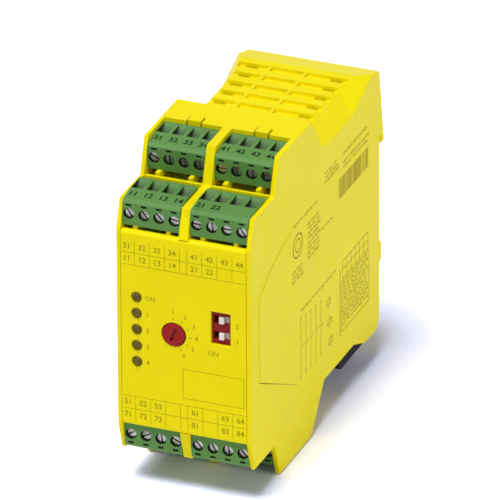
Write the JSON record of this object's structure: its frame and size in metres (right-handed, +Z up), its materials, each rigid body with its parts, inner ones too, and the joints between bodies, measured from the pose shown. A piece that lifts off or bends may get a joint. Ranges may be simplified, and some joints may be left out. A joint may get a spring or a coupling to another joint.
{
  "type": "safety relay",
  "caption": "Slim yellow DIN-rail safety relay with green pull-off screw terminal plugs, status lights, a time knob and a slide switch.",
  "frame": {"origin": "centre of the rail seat: middle of the width, on the plane of the rail's front face, midway between the 35 mm rail's edges", "axes": "+X to the right seen from the front, +Y back towards the rail, +Z up; the front panel faces -Y"},
  "size_m": [0.045, 0.115, 0.1112],
  "materials": {
    "housing": "fine moulded texture, satin",
    "panel": "smooth, satin",
    "terminal": "satin",
    "screw": "zinc plated",
    "clamp": "zinc plated",
    "pin": "tin plated",
    "latch": "satin",
    "spring": "bright wire",
    "lens": "smoky, translucent",
    "knob": "satin",
    "dip": "satin",
    "slider": "satin",
    "switch_body": "matt",
    "circuit": "solder resist",
    "relay_case": "satin",
    "capacitor": "sleeved can",
    "chip": "matt"
  },
  "bodies": {
    "root": {"housing_shell": "housing", "rail_base": "housing", "latch_spring": "spring", "front_panel": "panel", "light_guides": "lens", "knob_switch": "switch_body", "dip_switch": "dip", "front_board": "circuit", "upper_terminal_board": "circuit", "lower_terminal_board": "circuit", "left_main_board": "circuit", "right_main_board": "circuit", "upper_safety_relay": "relay_case", "lower_safety_relay": "relay_case", "capacitors": "capacitor", "processors": "chip", "header_pins": "pin", "upper_front_left_header": "terminal", "upper_front_right_header": "terminal", "upper_rear_left_header": "terminal", "upper_rear_right_header": "terminal", "lower_front_left_header": "terminal", "lower_front_right_header": "terminal", "lower_rear_left_header": "terminal", "lower_rear_right_header": "terminal"},
    "upper_front_left_plug": {"upper_front_left_plug": "terminal", "upper_front_left_screws": "screw", "upper_front_left_clamps": "clamp"},
    "upper_front_right_plug": {"upper_front_right_plug": "terminal", "upper_front_right_screws": "screw", "upper_front_right_clamps": "clamp"},
    "upper_rear_left_plug": {"upper_rear_left_plug": "terminal", "upper_rear_left_screws": "screw", "upper_rear_left_clamps": "clamp"},
    "upper_rear_right_plug": {"upper_rear_right_plug": "terminal", "upper_rear_right_screws": "screw", "upper_rear_right_clamps": "clamp"},
    "lower_front_left_plug": {"lower_front_left_plug": "terminal", "lower_front_left_screws": "screw", "lower_front_left_clamps": "clamp"},
    "lower_front_right_plug": {"lower_front_right_plug": "terminal", "lower_front_right_screws": "screw", "lower_front_right_clamps": "clamp"},
    "lower_rear_left_plug": {"lower_rear_left_plug": "terminal", "lower_rear_left_screws": "screw", "lower_rear_left_clamps": "clamp"},
    "lower_rear_right_plug": {"lower_rear_right_plug": "terminal", "lower_rear_right_screws": "screw", "lower_rear_right_clamps": "clamp"},
    "foot_latch": {"foot_latch": "latch"},
    "time_knob": {"time_knob": "knob"},
    "dip_slider_lower": {"dip_slider_lower": "slider"},
    "dip_slider_upper": {"dip_slider_upper": "slider"}
  },
  "joints": [
    {"name": "upper_front_left_pull", "type": "slide", "parent": "root", "child": "upper_front_left_plug", "axis": [0, -1, 0], "range_m": [0, 0.009]},
    {"name": "upper_front_right_pull", "type": "slide", "parent": "root", "child": "upper_front_right_plug", "axis": [0, -1, 0], "range_m": [0, 0.009]},
    {"name": "upper_rear_left_pull", "type": "slide", "parent": "root", "child": "upper_rear_left_plug", "axis": [0, -1, 0], "range_m": [0, 0.009]},
    {"name": "upper_rear_right_pull", "type": "slide", "parent": "root", "child": "upper_rear_right_plug", "axis": [0, -1, 0], "range_m": [0, 0.009]},
    {"name": "lower_front_left_pull", "type": "slide", "parent": "root", "child": "lower_front_left_plug", "axis": [0, -1, 0], "range_m": [0, 0.009]},
    {"name": "lower_front_right_pull", "type": "slide", "parent": "root", "child": "lower_front_right_plug", "axis": [0, -1, 0], "range_m": [0, 0.009]},
    {"name": "lower_rear_left_pull", "type": "slide", "parent": "root", "child": "lower_rear_left_plug", "axis": [0, -1, 0], "range_m": [0, 0.009]},
    {"name": "lower_rear_right_pull", "type": "slide", "parent": "root", "child": "lower_rear_right_plug", "axis": [0, -1, 0], "range_m": [0, 0.009]},
    {"name": "latch_slide", "type": "slide", "parent": "root", "child": "foot_latch", "axis": [0, 0, -1], "range_m": [0, 0.003], "stiffness_N_per_m": 2000, "springref_m": -0.001, "deforming": ["latch_spring"]},
    {"name": "knob_turn", "type": "hinge", "parent": "root", "child": "time_knob", "pos_m": [-0.0033, -0.1105, -0.0041], "axis": [0, 1, 0], "range_deg": [-30, 150]},
    {"name": "dip_lower_slide", "type": "slide", "parent": "root", "child": "dip_slider_lower", "axis": [-1, 0, 0], "range_m": [0, 0.0015]},
    {"name": "dip_upper_slide", "type": "slide", "parent": "root", "child": "dip_slider_upper", "axis": [-1, 0, 0], "range_m": [0, 0.0015]}
  ]
}
